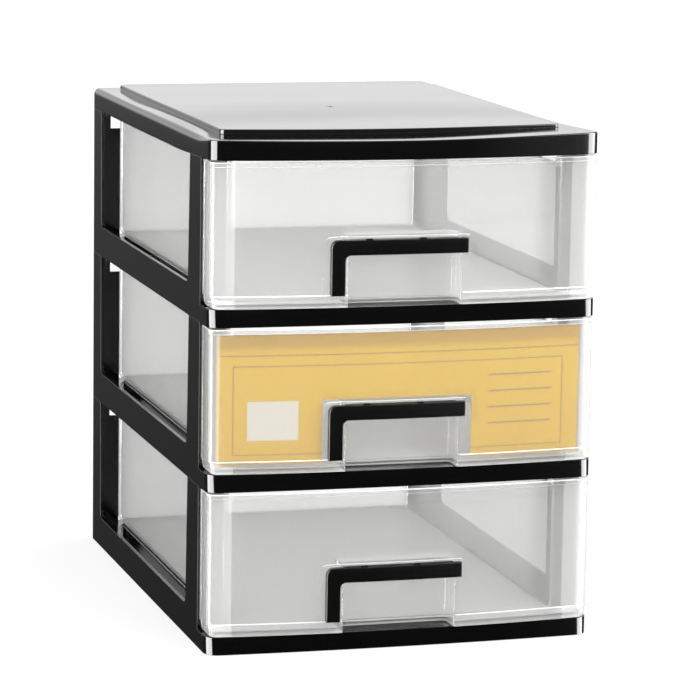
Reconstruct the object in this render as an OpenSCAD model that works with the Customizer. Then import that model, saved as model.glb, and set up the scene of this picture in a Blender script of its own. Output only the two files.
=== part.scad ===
// Stackable three-drawer box for paper, crafts and small parts.
// Units are millimetres. Z is up, the drawers open towards -Y, and the origin
// is the centre of the footprint on the surface that the box stands on.

/* [Tower] */
// Outer width of the frames and of the top panel
body_w = 270; // [262:1:290]
// Depth of the side walls, from the front corners to the back
body_d = 367; // [350:1:400]
// Height of one tier, from its lower rim to the rim of the next one
tier_h = 110.6; // [106:0.2:118]
// Radius of the vertical outer corners
corner_r = 8; // [6:0.5:10]

/* [Frames] */
// Wall thickness of the frames
frame_wall = 2.4; // [2:0.1:3]
// Height of the bars across the front and the back
bar_h = 12; // [11:0.5:14]
// Height of the rails along the sides
rail_h = 22; // [18:0.5:26]
// How far the bars bulge forward in the middle
bar_bow = 4; // [3:0.5:5]
// Width of the ledges that carry the drawer
ledge_w = 36; // [32:1:40]
// Distance of the front posts from the front corners
post_setback = 26; // [25:0.5:28]
// Width of a post, seen from the side, at its foot
post_side_w = 34; // [28:1:40]
// How much narrower a post is at its top
post_draft = 3; // [0:0.5:4]
// Width of a back post, seen from the back
post_face_w = 20; // [16:0.5:20]
// Width of a front post, seen from the front
front_face_w = 17; // [14:0.5:17]
// Radius between a rail and its posts
rail_fillet = 6; // [3:0.5:9]

/* [Top panel] */
// Height of the skirt, from the frame to the flat border
skirt_h = 13.6; // [11:0.2:16]
// Height of the raised platform above the border
platform_h = 2.6; // [2:0.2:6]
// How far the front of the top panel bulges forward
top_bow = 12.5; // [8:0.5:14]
// Width of the border beside the platform
border_w = 16; // [10:0.2:18]

/* [Drawers] */
// Width of the drawer front over its lip
front_w = 268; // [258:1:268]
// Width of the tray behind the posts
tray_w = 232; // [216:1:232]
// Depth of the whole tray, measured from the front corners
tray_d = 361; // [330:1:361]
// Wall thickness of the drawers
drawer_wall = 2.2; // [1.8:0.1:2.6]
// How far the drawer front bulges forward
front_bow = 8; // [6:0.5:9]
// Height of the front, over its rim
front_h = 96.8; // [90:0.2:100]
// Height of the tray's side walls
tray_h = 89; // [70:1:92]

/* [Handles] */
// Length of the grip's bar
grip_w = 95; // [90:1:110]
// Height of the grip over its leg
grip_h = 37; // [34:1:40]
// Width of the bar and of the leg
grip_t = 10; // [8:0.5:12]
// How far the grip stands out of the drawer front
grip_out = 4.6; // [3:0.2:5]
// Offset of the grip's middle from the middle of the box, to the left
grip_off = 7; // [0:0.5:12]

/* [Hidden] */
$fn = 64;
// middle of the footprint, so that the origin is under the middle of the box
y_mid = (body_d - top_bow) / 2;
// the drawer hangs free of the ledge and of the bar above it by these gaps
floor_gap = 0.3;
floor_z = bar_h + floor_gap;
front_top = floor_z + front_h;
// the drawer front is drawn in from its lip and rim by this much
panel_in = 2;
lip_h = 8.2;
rim_h = 2.8;
// finger pocket under the grip, left and right side, top and depth
pocket_l = -grip_w/2 - grip_off + 12.8;
pocket_r = grip_w/2 - grip_off - 4.5;
grip_z1 = floor_z + 8 + grip_h;
pocket_top = grip_z1 + 0.8;
pocket_back = 12;
black = [0.045, 0.045, 0.048];
clear = [0.86, 0.87, 0.86, 0.45];

// Radius of the circle that bulges by b over the width w
function bow_r(w, b) = (w*w/4 + b*b) / (2*b);
// Where the corner circle touches the bulged front, seen in plan
function cor_y(w, b, r) = bow_r(w, b) - b - sqrt(pow(bow_r(w, b) - r, 2) - pow(w/2 - r, 2));
function cor_n(w, b, r) = let (v = [w/2 - r, cor_y(w, b, r) - bow_r(w, b) + b]) v / norm(v);

// Points on an arc, in n steps
function arc(c, r, a0, a1, n = 7) = [for (k = [0:n]) let (a = a0 + (a1 - a0)*k/n) [c[0] + r*cos(a), c[1] + r*sin(a)]];

// Points along the bulged front, from x0 to x1, drawn in by i
function front_arc(w, b, i, x0, x1, n = 26) =
  let (R = bow_r(w, b)) [for (k = [0:n]) let (x = x0 + (x1 - x0)*k/n) [x, R - b - sqrt(pow(R - i, 2) - x*x)]];

// Plan outline: straight sides and back, a bulged front, round corners.
// i draws the whole outline in by i.
function outline_pts(w, d, b, r, i) =
  let (cy = cor_y(w, b, r), n = cor_n(w, b, r), tx = (bow_r(w, b) - i)*n[0], a = atan2(n[1], n[0]),
       full = concat(front_arc(w, b, i, -tx, tx),
                     arc([w/2 - r, cy], r - i, a, 0), arc([w/2 - r, d - r], r - i, 0, 90),
                     arc([r - w/2, d - r], r - i, 90, 180), arc([r - w/2, cy], r - i, 180, 180 - a)))
  [for (k = [0:len(full) - 1]) if (norm(full[k] - full[(k + 1) % len(full)]) > 0.02) full[k]];

module outline(w, d, b, r, i = 0) { polygon(outline_pts(w, d, b, r, i)); }

// Rectangle with four round corners
module rrect(x0, x1, y0, y1, r) {
  polygon(concat(arc([x0 + r, y0 + r], r, 180, 270), arc([x1 - r, y0 + r], r, 270, 360),
                 arc([x1 - r, y1 - r], r, 0, 90), arc([x0 + r, y1 - r], r, 90, 180)));
}

module box(x0, x1, y0, y1, z0, z1) {
  translate([x0, y0, z0]) cube([x1 - x0, y1 - y0, z1 - z0]);
}

// Puts a shape drawn from the front corner plane into the part's own frame
module place(z = 0) { translate([0, -y_mid, z]) children(); }

// ---------------------------------------------------------------- tier frame

// Side view of one tier: the rail with its two posts, the window open at the top
module side_profile() {
  f0 = post_setback;
  f1 = post_setback + post_side_w;
  b0 = body_d - post_side_w + 1;
  r = rail_fillet;
  polygon(concat([[-20, 0], [body_d + 20, 0], [body_d + 20, tier_h], [b0 + 1, tier_h]],
                 arc([b0 - r, rail_h + r], r, 0, -90), arc([f1 + r, rail_h + r], r, 270, 180),
                 [[f1 - post_draft, tier_h], [f0, tier_h], [f0, bar_h], [-20, bar_h]]));
}

// Back view of one tier: a low bar between two posts that are notched at the top
module back_profile() {
  notch_z = tier_h - 19.4;
  a = body_w/2 - post_face_w;
  c = 6.2;
  polygon([[-body_w, 0], [body_w, 0], [body_w, tier_h], [a + c, tier_h], [a + c, notch_z], [a, notch_z], [a, bar_h],
           [-a, bar_h], [-a, notch_z], [-a - c, notch_z], [-a - c, tier_h], [-body_w, tier_h]]);
}

module tier_frame() {
  color(black) {
    // outer walls: bars, rails, the sides of the front posts and the back posts
    intersection() {
      linear_extrude(tier_h) difference() {
        outline(body_w, body_d, bar_bow, corner_r);
        outline(body_w, body_d, bar_bow, corner_r, frame_wall);
      }
      translate([-body_w, 0, 0]) rotate([90, 0, 90]) linear_extrude(2*body_w) side_profile();
      translate([0, body_d + 20, 0]) rotate([90, 0, 0]) linear_extrude(body_d + 60) back_profile();
    }
    // ledge all round that the drawer slides on
    translate([0, 0, bar_h - 2.5]) linear_extrude(2.5) difference() {
      outline(body_w, body_d, bar_bow, corner_r, 1);
      rrect(-body_w/2 + ledge_w, body_w/2 - ledge_w, 32, body_d - 30, 8);
    }
    // turned-down edge of the ledge
    translate([0, 0, 4]) linear_extrude(bar_h - 5) difference() {
      rrect(-body_w/2 + ledge_w - 2, body_w/2 - ledge_w + 2, 30, body_d - 28, 10);
      rrect(-body_w/2 + ledge_w, body_w/2 - ledge_w, 32, body_d - 30, 8);
    }
    for (s = [0, 1]) mirror([s, 0, 0]) {
      // face of the front post
      box(body_w/2 - front_face_w, body_w/2 - 1, post_setback, post_setback + frame_wall, bar_h - 1, tier_h);
      // ribs that guide the tray between the posts
      box(tray_w/2 + 1.6, tray_w/2 + 3.2, 70, body_d - 42, bar_h - 1, bar_h + 4);
      // tongues that locate the frame or the panel above
      box(body_w/2 - 5, body_w/2 - frame_wall - 0.2, post_setback + 5, post_setback + 24, tier_h - 12, tier_h + 6);
      box(body_w/2 - frame_wall - 1, body_w/2 - frame_wall + 1, post_setback + 5.5, post_setback + 23.5, tier_h - 11.5, tier_h - 0.3);
      box(body_w/2 - 5, body_w/2 - frame_wall - 0.2, body_d - 29, body_d - 11, tier_h - 12, tier_h + 6);
      box(body_w/2 - frame_wall - 1, body_w/2 - frame_wall + 1, body_d - 28.5, body_d - 11.5, tier_h - 11.5, tier_h - 0.3);
      // gussets under the ledge, clear of the tongues
      for (y = [92, 138, 184, 230, 276]) box(body_w/2 - ledge_w + 1, body_w/2 - 1, y, y + 1.6, 5, bar_h - 1);
    }
  }
}

// ----------------------------------------------------------------- top panel

module platform(i = 0) {
  w = body_w - 2*border_w;
  translate([0, 42.5]) outline(w, body_d - 53.5, 11, 10, i);
}

module top_panel() {
  z0 = 3*tier_h;
  z1 = z0 + skirt_h;
  place() color(black) {
    // skirt
    translate([0, 0, z0]) linear_extrude(skirt_h) difference() {
      outline(body_w, body_d, top_bow, corner_r);
      outline(body_w, body_d, top_bow, corner_r, frame_wall);
    }
    // border
    translate([0, 0, z1 - 2.5]) linear_extrude(2.5) difference() {
      outline(body_w, body_d, top_bow, corner_r, 1);
      platform(1.8);
    }
    // raised platform
    difference() {
      translate([0, 0, z1 - 2.5]) linear_extrude(2.5 + platform_h) platform();
      translate([0, 0, z1 - 3]) linear_extrude(platform_h + 0.5) platform(2.8);
      // notch in the middle of the front edge
      box(-2.5, 4.5, 26, 33, z1 + platform_h - 1.2, z1 + platform_h + 1);
    }
    // gate mark
    translate([-4, y_mid, z1 + platform_h - 3]) cylinder(h = 2.6, r = 3);
    // pads that stand on the four posts
    for (s = [0, 1]) mirror([s, 0, 0]) {
      box(body_w/2 - post_face_w + 7, body_w/2 - 5.2, post_setback, post_setback + frame_wall, z0, z1 - 1);
      box(body_w/2 - post_face_w + 7, body_w/2 - 8, body_d - 2.4, body_d - 1, z0, z1 - 1);
    }
  }
}

// ------------------------------------------------------------------- drawers

module drawer() {
  color(clear) difference() {
    union() {
      // wide front with its rounded corners
      translate([0, 0, floor_z]) linear_extrude(front_h)
        intersection() {
          outline(front_w, 60, front_bow, corner_r, panel_in);
          translate([-front_w, -30]) square([2*front_w, 30 + post_setback - 2]);
        }
      // lip at the bottom and rim at the top
      for (q = [[floor_z, lip_h], [front_top - rim_h, rim_h]])
        translate([0, 0, q[0]]) linear_extrude(q[1])
          intersection() {
            outline(front_w, 60, front_bow, corner_r);
            translate([-front_w, -30]) square([2*front_w, 30 + post_setback - 2]);
          }
      // tray behind the posts
      translate([0, 0, floor_z]) linear_extrude(tray_h)
        rrect(-tray_w/2, tray_w/2, 4, tray_d, 6);
      // stiff rim of the tray
      translate([0, 0, floor_z + tray_h - 2.2]) linear_extrude(2.2)
        rrect(-tray_w/2 - 1.2, tray_w/2 + 1.2, 4, tray_d + 1.2, 7);
      // raised line round the grip and the pocket
      intersection() {
        grip_band(1, 0.5);
        upright() difference() {
          rrect(-grip_w/2 - grip_off - 4.2, grip_w/2 - grip_off + 3, floor_z + 2, grip_z1 + 3, 6);
          rrect(-grip_w/2 - grip_off - 2.8, grip_w/2 - grip_off + 1.6, floor_z - 8, grip_z1 + 1.6, 4.6);
        }
      }
    }
    difference() {
      union() {
        // inside of the wide front
        translate([0, 0, floor_z + drawer_wall]) linear_extrude(front_h + 10)
          intersection() {
            outline(front_w, 60, front_bow, corner_r, panel_in + drawer_wall);
            translate([-front_w, -30]) square([2*front_w, 30 + post_setback - 2 - drawer_wall]);
          }
        // inside of the tray
        translate([0, 0, floor_z + drawer_wall]) linear_extrude(front_h + 10)
          rrect(-tray_w/2 + drawer_wall, tray_w/2 - drawer_wall, 0, tray_d - drawer_wall, 4);
      }
      // walls of the finger pocket
      box(pocket_l - 2, pocket_r + 2, -20, pocket_back + 2, 0, pocket_top + 2);
    }
    // finger pocket, open to the front and the bottom
    box(pocket_l, pocket_r, -20, pocket_back, 0, pocket_top);
  }
}

// Bulged band in front of the drawer: from o outside its face to i inside it
module grip_band(o, i) {
  linear_extrude(front_top) polygon(concat(
    front_arc(front_w, front_bow, panel_in - o, -110, 110, 22), front_arc(front_w, front_bow, panel_in + i, 110, -110, 22)));
}

// Stands a shape drawn in x and z up in front of the drawer
module upright() { translate([0, 20, 0]) rotate([90, 0, 0]) linear_extrude(60) children(); }

module grip() {
  x0 = -grip_w/2 - grip_off;
  x1 = grip_w/2 - grip_off;
  z0 = grip_z1 - grip_h;
  zb = grip_z1 - grip_t;
  color(black) {
    // the bar and its leg, standing out of the drawer front
    intersection() {
      grip_band(grip_out, 0);
      upright() polygon(concat([[x0, z0], [x0 + grip_t, z0]], arc([x0 + grip_t + 4, zb - 4], 4, 180, 90),
                               [[x1, zb], [x1, grip_z1]], arc([x0 + 4, grip_z1 - 4], 4, 90, 180)));
    }
    // back of the bar, which the fingers pull on, let into the top of the pocket
    intersection() {
      grip_band(1, 6);
      box(pocket_l + 0.4, pocket_r - 0.4, -30, 20, zb + 0.5, grip_z1 - 0.5);
    }
    // clips on top of the bar
    for (x = [x0 + 24, x0 + 61]) intersection() {
      grip_band(1.6, -0.4);
      box(x, x + 5, -30, 20, grip_z1 - 0.5, grip_z1 + 0.9);
    }
  }
}

// ---------------------------------------------------------------------- card

// Paper card that lies inside the front of the middle drawer, cut out round the pocket
module label_card() {
  place(tier_h) color([0.93, 0.76, 0.36])
    difference() {
      translate([0, 0, floor_z + 6]) linear_extrude(87)
        intersection() {
          difference() {
            outline(front_w, 60, front_bow, corner_r, panel_in + drawer_wall + 0.1);
            outline(front_w, 60, front_bow, corner_r, panel_in + drawer_wall + 0.6);
          }
          translate([-130, -20]) square([254, 25]);
        }
      box(pocket_l - 16, pocket_r + 10, -30, 20, 0, pocket_top + 2.6);
    }
}

module tier_frame_top() { place(2*tier_h) tier_frame(); }
module tier_frame_middle() { place(tier_h) tier_frame(); }
module tier_frame_bottom() { place(0) tier_frame(); }
module drawer_top() { place(2*tier_h) drawer(); }
module drawer_middle() { place(tier_h) drawer(); }
module drawer_bottom() { place(0) drawer(); }
module handle_top() { place(2*tier_h) grip(); }
module handle_middle() { place(tier_h) grip(); }
module handle_bottom() { place(0) grip(); }

top_panel();
tier_frame_top();
tier_frame_middle();
tier_frame_bottom();
drawer_top();
drawer_middle();
drawer_bottom();
handle_top();
handle_middle();
handle_bottom();
label_card();
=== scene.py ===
import bpy, bmesh, math
import numpy as np
from mathutils import Matrix, Vector
from mathutils.geometry import delaunay_2d_cdt


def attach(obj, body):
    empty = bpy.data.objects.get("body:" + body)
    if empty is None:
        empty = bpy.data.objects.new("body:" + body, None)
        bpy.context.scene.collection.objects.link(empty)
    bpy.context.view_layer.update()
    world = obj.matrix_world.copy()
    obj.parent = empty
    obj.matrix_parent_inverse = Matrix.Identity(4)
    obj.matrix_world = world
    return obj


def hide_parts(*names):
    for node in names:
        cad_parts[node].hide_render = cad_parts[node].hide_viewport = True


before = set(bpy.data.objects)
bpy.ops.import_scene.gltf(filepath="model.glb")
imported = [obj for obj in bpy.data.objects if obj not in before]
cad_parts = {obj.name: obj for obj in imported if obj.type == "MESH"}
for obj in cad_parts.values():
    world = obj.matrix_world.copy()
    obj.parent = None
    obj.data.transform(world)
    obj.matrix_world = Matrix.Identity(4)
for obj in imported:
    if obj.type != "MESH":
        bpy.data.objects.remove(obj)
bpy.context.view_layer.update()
sc = bpy.context.scene

# Shapes are worked out in millimetres: x from the middle of the box, y from the
# front corner plane towards the back, z up from the floor. mesh_object() puts
# them into the shared frame, whose origin is Y_MID behind that plane.
W, D, TIER, CR = 270.0, 367.0, 110.6, 8.0
WALL, BAR, RAIL, BAR_BOW, LEDGE = 2.4, 12.0, 22.0, 4.0, 36.0
Y_MID = 177.25
TOP_Z0, TOP_Z1, TOP_Z2 = 331.8, 345.4, 348.0
TOP_BOW = 12.5
FLOOR_Z = 12.3
FRONT_TOP, TRAY_TOP = 109.1, 101.3
FRONT_BOW = 8.0
PANEL_IN, DWALL, SIDE_IN, SIDE_K = 2.0, 2.2, -0.5, 0.05
POCKET_L, POCKET_R, POCKET_BACK, POCKET_TOP = -41.7, 36.0, 12.0, 58.1
GRIP_L, GRIP_R, GRIP_Z0, GRIP_Z1, GRIP_T = -54.5, 40.5, 20.3, 57.3, 10.0


def smooth(t):
    t = np.clip(t, 0, 1)
    return t * t * (3 - 2 * t)


def bow_r(w, b):
    return (w * w / 4 + b * b) / (2 * b)


# ------------------------------------------------------------------ plan lines

def plan(w, d, b, r, y0=0.0, nf=56, nc=10, ns=30, nb=30, rr=None, rb=None):
    """Closed plan outline, anticlockwise from the front left: points and outward normals.
    Straight sides and back, a front that bulges by b, corners of radius r, the front right
    one of radius rr and the back ones of radius rb."""
    rr, rb = rr or r, rb or r
    R = bow_r(w, b)
    def tangent(q):
        cy = R - b - math.sqrt((R - q) ** 2 - (w / 2 - q) ** 2)
        n = np.array([w / 2 - q, cy - (R - b)]); n /= np.hypot(*n)
        return cy, R * n[0], math.atan2(n[1], n[0])
    cyl, txl, al = tangent(r)
    cyr, txr, ar = tangent(rr)
    P, N = [], []
    for k in range(nf + 1):
        x = -txl + (txl + txr) * k / nf
        q = math.sqrt(R * R - x * x)
        P.append((x, R - b - q)); N.append((x / R, -q / R))
    def corner(cx, cyy, q, a0, a1, ends=(False, True)):
        for k in range(0 if ends[0] else 1, nc + (1 if ends[1] else 0)):
            a = a0 + (a1 - a0) * k / nc
            P.append((cx + q * math.cos(a), cyy + q * math.sin(a))); N.append((math.cos(a), math.sin(a)))
    corner(w / 2 - rr, cyr, rr, ar, 0)
    for k in range(1, ns):
        P.append((w / 2, cyr + (d - rb - cyr) * k / ns)); N.append((1, 0))
    corner(w / 2 - rb, d - rb, rb, 0, math.pi / 2, (True, True))
    for k in range(1, nb):
        P.append((w / 2 - rb - (w - 2 * rb) * k / nb, d)); N.append((0, 1))
    corner(rb - w / 2, d - rb, rb, math.pi / 2, math.pi, (True, True))
    for k in range(1, ns):
        P.append((-w / 2, d - rb + (cyl - d + rb) * k / ns)); N.append((-1, 0))
    corner(r - w / 2, cyl, r, math.pi, math.pi - al, (True, False))
    P, N = np.array(P, float), np.array(N, float)
    P[:, 1] += y0
    return P, N


def rings_to_mesh(rings, cap0=True, cap1=True, loop=False):
    """Quads between rings of equal length, with n-gon caps, or closed on itself."""
    n = len(rings[0])
    V = np.concatenate(rings)
    F = []
    m = len(rings)
    for k in range(m if loop else m - 1):
        a, b = k * n, ((k + 1) % m) * n
        for j in range(n):
            jn = (j + 1) % n
            F.append((a + j, a + jn, b + jn, b + j))
    if not loop:
        if cap0:
            F.append(tuple(range(n - 1, -1, -1)))
        if cap1:
            F.append(tuple(range((m - 1) * n, m * n)))
    return V, F


def ring(P, N, inset, z):
    inset = np.broadcast_to(np.asarray(inset, float), (len(P),))
    z = np.broadcast_to(np.asarray(z, float), (len(P),))
    return np.column_stack([P - N * inset[:, None], z])


def join(*parts):
    V, F, o = [], [], 0
    for v, f in parts:
        V.append(np.asarray(v, float)); F += [tuple(i + o for i in q) for q in f]
        o += len(v)
    return np.concatenate(V), F


def mirror_x(part):
    v, f = part
    v = np.array(v, float); v[:, 0] *= -1
    return v, [tuple(reversed(q)) for q in f]


def rbox(x0, x1, y0, y1, z0, z1, r=0.5):
    """Box whose twelve edges are rounded."""
    bm = bmesh.new()
    bmesh.ops.create_cube(bm, size=1)
    for v in bm.verts:
        v.co = Vector((x0 + (v.co.x + .5) * (x1 - x0), y0 + (v.co.y + .5) * (y1 - y0), z0 + (v.co.z + .5) * (z1 - z0)))
    r = min(r, 0.45 * min(x1 - x0, y1 - y0, z1 - z0))
    bmesh.ops.bevel(bm, geom=bm.edges[:], offset=r, segments=2, affect='EDGES', profile=0.5)
    bm.verts.index_update()
    V = np.array([v.co for v in bm.verts], float)
    F = [tuple(v.index for v in f.verts) for f in bm.faces]
    bm.free()
    return V, F


# --------------------------------------------------------- plates round a line

class Path:
    """A plan line with normals, measured by its length."""
    def __init__(self, P, N, closed):
        self.closed = closed
        if closed:
            P, N = np.vstack([P, P[:1]]), np.vstack([N, N[:1]])
        self.P, self.N = P, N
        self.s = np.concatenate([[0], np.cumsum(np.hypot(*np.diff(P, axis=0).T))])
        self.L = self.s[-1]
    def at(self, s, depth):
        p = np.column_stack([np.interp(s, self.s, self.P[:, k]) for k in (0, 1)])
        n = np.column_stack([np.interp(s, self.s, self.N[:, k]) for k in (0, 1)])
        n /= np.hypot(n[:, 0], n[:, 1])[:, None]
        return p - n * np.asarray(depth)[:, None] if np.ndim(depth) else p - n * depth


def refine(poly, cols, zstep, keep=0.15):
    """Adds points to a polygon where it crosses the columns, and every zstep along uprights."""
    out = []
    n = len(poly)
    for k in range(n):
        a, b = np.array(poly[k], float), np.array(poly[(k + 1) % n], float)
        out.append(tuple(a))
        ts = []
        ds, dz = b - a
        if abs(ds) > 1e-6:
            lo, hi = min(a[0], b[0]), max(a[0], b[0])
            for c in cols:
                if lo + keep < c < hi - keep:
                    ts.append((c - a[0]) / ds)
        else:
            m = int(abs(dz) // zstep)
            ts += [(j + 1) / (m + 1) for j in range(m)]
        for t in sorted(ts):
            out.append(tuple(a + t * (b - a)))
    return out


def inset_loop(poly, cut):
    """Inward direction at each point of an anticlockwise polygon, scaled so that edges move by one."""
    q = np.array(poly, float)
    e = np.roll(q, -1, 0) - q
    e /= np.hypot(e[:, 0], e[:, 1])[:, None]
    nin = np.column_stack([-e[:, 1], e[:, 0]])
    prev = np.roll(nin, 1, 0)
    d = nin + prev
    l = np.hypot(d[:, 0], d[:, 1])
    d /= np.maximum(l, 1e-6)[:, None]
    d /= np.maximum((d * nin).sum(1), 0.5)[:, None]
    if cut is not None:
        for k in range(len(q)):
            c0, c1 = cut(q[k - 1], q[k]), cut(q[k], q[(k + 1) % len(q)])
            if c0 and c1:
                d[k] = 0
            elif c0:
                d[k] = nin[k]
            elif c1:
                d[k] = prev[k]
    return d


def plate(path, poly, t, e, segs=2, zstep=14.0, cut=None, grid=True, back_e=0.0, cols=None):
    """A wall of thickness t that follows path. poly is its outline, unrolled: distance along the
    path and height. The outer edges are rounded by e."""
    cols = path.s if cols is None else cols
    poly = refine(poly, cols, zstep)
    d = inset_loop(poly, cut)
    q = np.array(poly, float)
    n = len(q)
    layers = []
    for k in range(segs + 1):
        a = math.pi / 2 * k / segs
        layers.append((e * (1 - math.sin(a)), e * (1 - math.cos(a))))
    if back_e:
        layers += [(0, t - back_e), (back_e, t)]
    else:
        layers.append((0, t))
    V, F = [], []
    for ins, dep in layers:
        p = q + d * ins
        V.append(np.column_stack([path.at(p[:, 0], dep), p[:, 1]]))
    for k in range(len(layers) - 1):
        for j in range(n):
            jn = (j + 1) % n
            if cut is not None and cut(q[j], q[jn]):
                continue
            F.append((k * n + j, (k + 1) * n + j, (k + 1) * n + jn, k * n + jn))
    base = len(layers) * n
    for which, (ins, dep) in ((0, layers[0]), (len(layers) - 1, layers[-1])):
        p = q + d * ins
        extra = []
        if grid:
            lo, hi = q[:, 1].min(), q[:, 1].max()
            zs = np.arange(lo + zstep / 2, hi, zstep)
            cand = np.array([(c, z) for c in cols[1:-1] for z in zs])
            if len(cand):
                a, b = p, np.roll(p, -1, 0)
                ab = b - a
                inside = np.zeros(len(cand), bool)
                dist = np.full(len(cand), 1e9)
                for k in range(n):
                    ap = cand - a[k]
                    tt = np.clip((ap @ ab[k]) / max(ab[k] @ ab[k], 1e-12), 0, 1)
                    dist = np.minimum(dist, np.hypot(*(ap - tt[:, None] * ab[k]).T))
                    c1 = (a[k, 1] > cand[:, 1]) != (b[k, 1] > cand[:, 1])
                    with np.errstate(divide='ignore', invalid='ignore'):
                        xx = a[k, 0] + (cand[:, 1] - a[k, 1]) * ab[k, 0] / ab[k, 1]
                    inside ^= c1 & (cand[:, 0] < xx)
                extra = [tuple(c) for c in cand[inside & (dist > 1.2)]]
        pts = [Vector(x) for x in p] + [Vector(x) for x in extra]
        r = delaunay_2d_cdt(pts, [], [list(range(n))], 1, 1e-5)
        verts, faces, orig = r[0], r[2], r[3]
        idx = []
        for k, o in enumerate(orig):
            o = [x for x in o if x < n]
            if o:
                idx.append(which * n + o[0])
            else:
                V.append(np.column_stack([path.at(np.array([verts[k][0]]), dep), [verts[k][1]]]))
                idx.append(base)
                base += 1
        for f in faces:
            g = [idx[k] for k in f]
            if len(set(g)) < 3:
                continue
            F.append(tuple(g) if which == 0 else tuple(reversed(g)))
    return np.concatenate(V), F


# ----------------------------------------------------------------- mesh object

def mesh_object(name, part, mat, body, nodes, sharp=38, weighted=True, merge=0.01):
    V, F = part
    V = (np.asarray(V, float) - [0, Y_MID, 0]) / 1000
    me = bpy.data.meshes.new(name)
    me.from_pydata(V.tolist(), [], [list(f) for f in F])
    bm = bmesh.new(); bm.from_mesh(me)
    if merge:
        bmesh.ops.remove_doubles(bm, verts=bm.verts, dist=merge / 1000)
    finish_bmesh(bm, sharp)
    bm.to_mesh(me); bm.free()
    ob = bpy.data.objects.new(name, me)
    sc.collection.objects.link(ob)
    me.materials.append(mat)
    if weighted:
        add_weighted(ob)
    if body:
        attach(ob, body)
        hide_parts(*nodes)
    return ob


def add_weighted(ob):
    m = ob.modifiers.new("normals", 'WEIGHTED_NORMAL')
    m.keep_sharp = True
    m.weight = 70
    return m


def finish_bmesh(bm, sharp):
    for f in bm.faces:
        f.smooth = True
    a = math.radians(sharp)
    for e in bm.edges:
        e.smooth = not (len(e.link_faces) == 2 and e.calc_face_angle(0) > a)


# ------------------------------------------------------------------- materials

class G:
    """Small helper for shader nodes."""
    def __init__(self, tree):
        self.t = tree
        tree.nodes.clear()
    def n(self, kind, **kw):
        nd = self.t.nodes.new(kind)
        for k, v in kw.items():
            if k.startswith("in_"):
                key = k[3:]
                key = int(key) if key.isdigit() else key.replace("_", " ")
                nd.inputs[key].default_value = v
            else:
                setattr(nd, k, v)
        return nd
    def l(self, a, b):
        self.t.links.new(a, b)
    def math(self, op, a, b=None, c=None, clamp=False):
        nd = self.t.nodes.new('ShaderNodeMath'); nd.operation = op; nd.use_clamp = clamp
        for k, x in enumerate((a, b, c)):
            if x is None:
                continue
            if isinstance(x, (int, float)):
                nd.inputs[k].default_value = x
            else:
                self.l(x, nd.inputs[k])
        return nd.outputs[0]
    def maprange(self, v, a, b, c=0.0, d=1.0, kind='SMOOTHSTEP'):
        nd = self.t.nodes.new('ShaderNodeMapRange'); nd.interpolation_type = kind
        self.l(v, nd.inputs['Value'])
        for k, x in (('From Min', a), ('From Max', b), ('To Min', c), ('To Max', d)):
            if isinstance(x, (int, float)):
                nd.inputs[k].default_value = x
            else:
                self.l(x, nd.inputs[k])
        return nd.outputs['Result']
    def mixc(self, f, a, b):
        nd = self.t.nodes.new('ShaderNodeMix'); nd.data_type = 'RGBA'
        for s, x in ((0, f), (6, a), (7, b)):
            if isinstance(x, (int, float)):
                nd.inputs[s].default_value = x
            elif isinstance(x, tuple):
                nd.inputs[s].default_value = x
            else:
                self.l(x, nd.inputs[s])
        return nd.outputs[2]


def material(name):
    m = bpy.data.materials.new(name)
    m.use_nodes = True
    return m, G(m.node_tree)


def black_plastic(name, base, rough, grain):
    m, g = material(name)
    out = g.n('ShaderNodeOutputMaterial')
    b = g.n('ShaderNodeBsdfPrincipled', in_IOR=1.5)
    tc = g.n('ShaderNodeTexCoord')
    n1 = g.n('ShaderNodeTexNoise', in_Scale=9.0, in_Detail=3.0)
    n2 = g.n('ShaderNodeTexNoise', in_Scale=1400.0, in_Detail=2.0)
    for k in (n1, n2):
        g.l(tc.outputs['Object'], k.inputs['Vector'])
    g.l(g.mixc(n1.outputs['Fac'], tuple(x * 0.8 for x in base) + (1,), tuple(x * 1.2 for x in base) + (1,)), b.inputs['Base Color'])
    r = g.maprange(n1.outputs['Fac'], 0.3, 0.7, rough * 0.85, rough * 1.15, 'LINEAR')
    r2 = g.maprange(n2.outputs['Fac'], 0.3, 0.7, -0.02, 0.02, 'LINEAR')
    geo = g.n('ShaderNodeNewGeometry')
    nz = g.n('ShaderNodeSeparateXYZ')
    g.l(geo.outputs['Normal'], nz.inputs[0])
    up = g.maprange(nz.outputs[2], 0.9, 0.99)
    # broad flats of the moulding are more polished and very slightly wavy
    g.l(g.math('MULTIPLY', g.math('ADD', r, r2), g.maprange(up, 0, 1, 1.0, 0.5, 'LINEAR')), b.inputs['Roughness'])
    st = g.n('ShaderNodeMapping')
    st.inputs['Scale'].default_value = (3.4, 5.0, 3.0)
    g.l(tc.outputs['Object'], st.inputs['Vector'])
    n3 = g.n('ShaderNodeTexNoise', in_Scale=1.0, in_Detail=0.0)
    g.l(st.outputs[0], n3.inputs['Vector'])
    wave = g.n('ShaderNodeBump', in_Strength=1.0, in_Distance=0.007)
    g.l(up, wave.inputs['Strength'])
    g.l(n3.outputs['Fac'], wave.inputs['Height'])
    bp = g.n('ShaderNodeBump', in_Strength=grain, in_Distance=0.00002)
    g.l(n2.outputs['Fac'], bp.inputs['Height'])
    g.l(wave.outputs['Normal'], bp.inputs['Normal'])
    g.l(bp.outputs['Normal'], b.inputs['Normal'])
    g.l(b.outputs[0], out.inputs['Surface'])
    return m


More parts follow.
